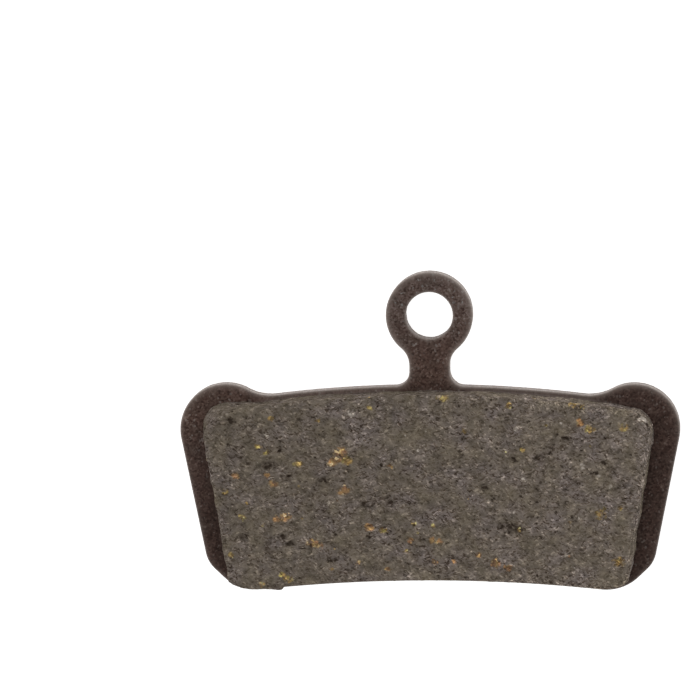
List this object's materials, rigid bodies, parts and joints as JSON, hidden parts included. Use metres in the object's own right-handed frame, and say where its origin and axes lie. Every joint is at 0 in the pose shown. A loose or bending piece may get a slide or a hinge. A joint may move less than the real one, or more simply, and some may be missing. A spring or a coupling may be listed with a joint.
{
  "type": "bicycle disc brake pad",
  "caption": "Flat disc brake pad: a blanked steel backing plate with rounded ears and a pin eye on a waisted tab, carrying a moulded friction lining that grips the rotor.",
  "frame": {"origin": "centre of the pin hole at the plate's back face", "axes": "+X across the pad, +Y from the lining to the tab, +Z from the back face to the friction face"},
  "size_m": [0.0424, 0.0272, 0.004],
  "materials": {
    "coated_steel": "blanked steel with a thin dark brown baked coating, satin",
    "friction_compound": "moulded resin-bonded friction compound, matt grey brown with metal and mineral specks"
  },
  "bodies": {
    "root": {"backing_plate": "coated_steel", "friction_lining": "friction_compound"}
  },
  "joints": []
}
